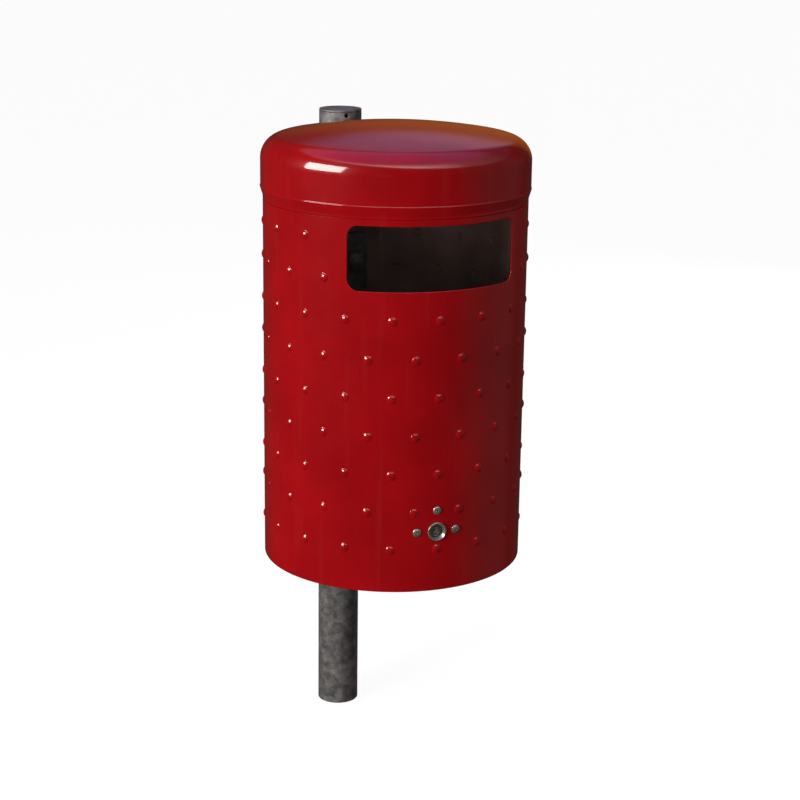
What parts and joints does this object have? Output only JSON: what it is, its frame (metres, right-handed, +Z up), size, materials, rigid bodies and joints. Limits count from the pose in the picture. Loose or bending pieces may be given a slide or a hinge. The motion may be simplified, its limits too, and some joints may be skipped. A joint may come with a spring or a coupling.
{
  "type": "dog waste bin",
  "caption": "Round post-mounted waste bin with an embossed sheet shell, cap lid, open posting slot and a keyed bottom flap for emptying.",
  "frame": {"origin": "centre of the post's lower end", "axes": "+Z up along the post, -Y towards the bin's front with its posting slot and lock, +X to the right seen from the front"},
  "size_m": [0.2962, 0.3774, 0.7565],
  "materials": {
    "red_powder_coat": "glossy powder coat with slight orange peel",
    "galvanised_tube": "weathered hot-dip galvanised, mottled spangle",
    "zinc_hardware": "zinc plated, satin",
    "bare_sheet": "dull galvanised sheet"
  },
  "bodies": {
    "root": {"backing_strip": "bare_sheet", "hinge_fixed_leaf": "zinc_hardware", "hinge_pin": "zinc_hardware", "hinge_rivet_left": "zinc_hardware", "hinge_rivet_right": "zinc_hardware", "lid": "red_powder_coat", "lid_rivet_1": "zinc_hardware", "lid_rivet_2": "zinc_hardware", "lid_rivet_3": "zinc_hardware", "lid_rivet_4": "zinc_hardware", "lock_housing": "zinc_hardware", "lock_nut": "zinc_hardware", "lock_plate": "bare_sheet", "lock_rivet_left": "zinc_hardware", "lock_rivet_right": "zinc_hardware", "lock_rivet_top": "zinc_hardware", "lower_clamp_bolt_left": "zinc_hardware", "lower_clamp_bolt_right": "zinc_hardware", "lower_clamp_nut_left": "zinc_hardware", "lower_clamp_nut_right": "zinc_hardware", "lower_clamp_strap": "zinc_hardware", "lower_hat_bracket": "zinc_hardware", "lower_wall_bolt": "zinc_hardware", "lower_wall_nut": "zinc_hardware", "post_cap": "galvanised_tube", "post_tube": "galvanised_tube", "shell": "red_powder_coat", "upper_clamp_bolt_left": "zinc_hardware", "upper_clamp_bolt_right": "zinc_hardware", "upper_clamp_nut_left": "zinc_hardware", "upper_clamp_nut_right": "zinc_hardware", "upper_clamp_strap": "zinc_hardware", "upper_hat_bracket": "zinc_hardware", "upper_wall_bolt": "zinc_hardware", "upper_wall_nut": "zinc_hardware"},
    "flap": {"flap_pan": "red_powder_coat", "hinge_flap_leaf": "zinc_hardware", "flap_rivet_left": "zinc_hardware", "flap_rivet_right": "zinc_hardware", "strike": "zinc_hardware", "strike_rivet_near": "zinc_hardware", "strike_rivet_far": "zinc_hardware"},
    "lock": {"lock_spindle": "zinc_hardware", "lock_cam": "zinc_hardware", "cam_screw": "zinc_hardware"}
  },
  "joints": [
    {"name": "flap_hinge", "type": "hinge", "parent": "root", "child": "flap", "pos_m": [0, -0.058, 0.267], "axis": [1, 0, 0], "range_deg": [0, 95]},
    {"name": "lock_turn", "type": "hinge", "parent": "root", "child": "lock", "pos_m": [0, -0.345, 0.3392], "axis": [0, -1, 0], "range_deg": [0, 90]}
  ]
}
